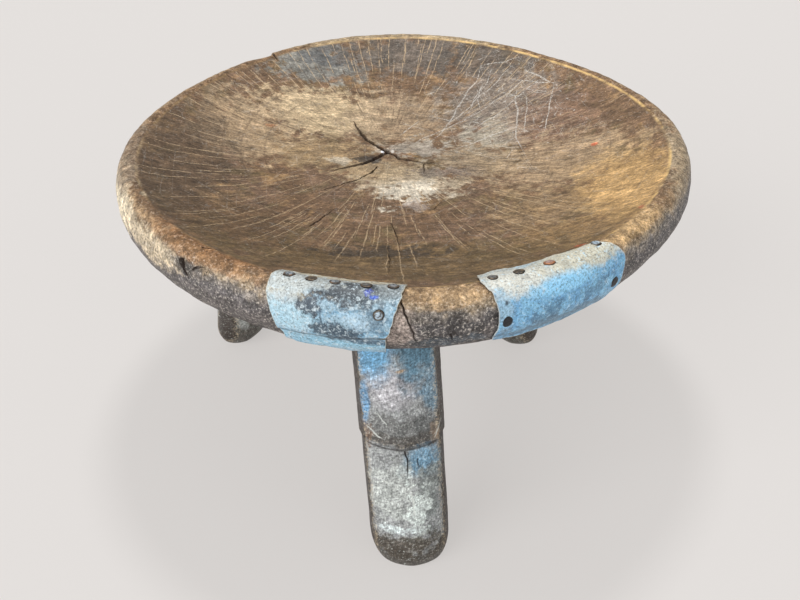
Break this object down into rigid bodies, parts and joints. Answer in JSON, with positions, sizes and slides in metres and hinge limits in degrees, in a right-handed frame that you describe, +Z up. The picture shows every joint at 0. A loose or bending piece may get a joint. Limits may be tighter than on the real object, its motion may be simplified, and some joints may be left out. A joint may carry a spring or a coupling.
{
  "type": "stool",
  "caption": "Low round carved wooden stool with a dished seat, splayed faceted legs with collars, and sheet-metal patches nailed over the rim.",
  "frame": {"origin": "on the floor, under the centre of the round seat", "axes": "+Z up; +Y towards the back, between the left and right legs; -Y towards the single front leg and the patched side of the rim; +X to the right seen from the front"},
  "size_m": [0.3855, 0.3864, 0.2399],
  "materials": {
    "old_wood": "worn and waxy, end grain in the dish",
    "patch_metal": "dull zinc sheet with blue-white bloom",
    "nail_iron": "dark oxidised iron"
  },
  "bodies": {
    "root": {"stool_body": "old_wood", "left_patch": "patch_metal", "right_patch": "patch_metal", "left_patch_rim_tacks": "nail_iron", "right_patch_rim_tacks": "nail_iron", "left_patch_face_nails": "nail_iron", "right_patch_face_nails": "nail_iron"}
  },
  "joints": []
}
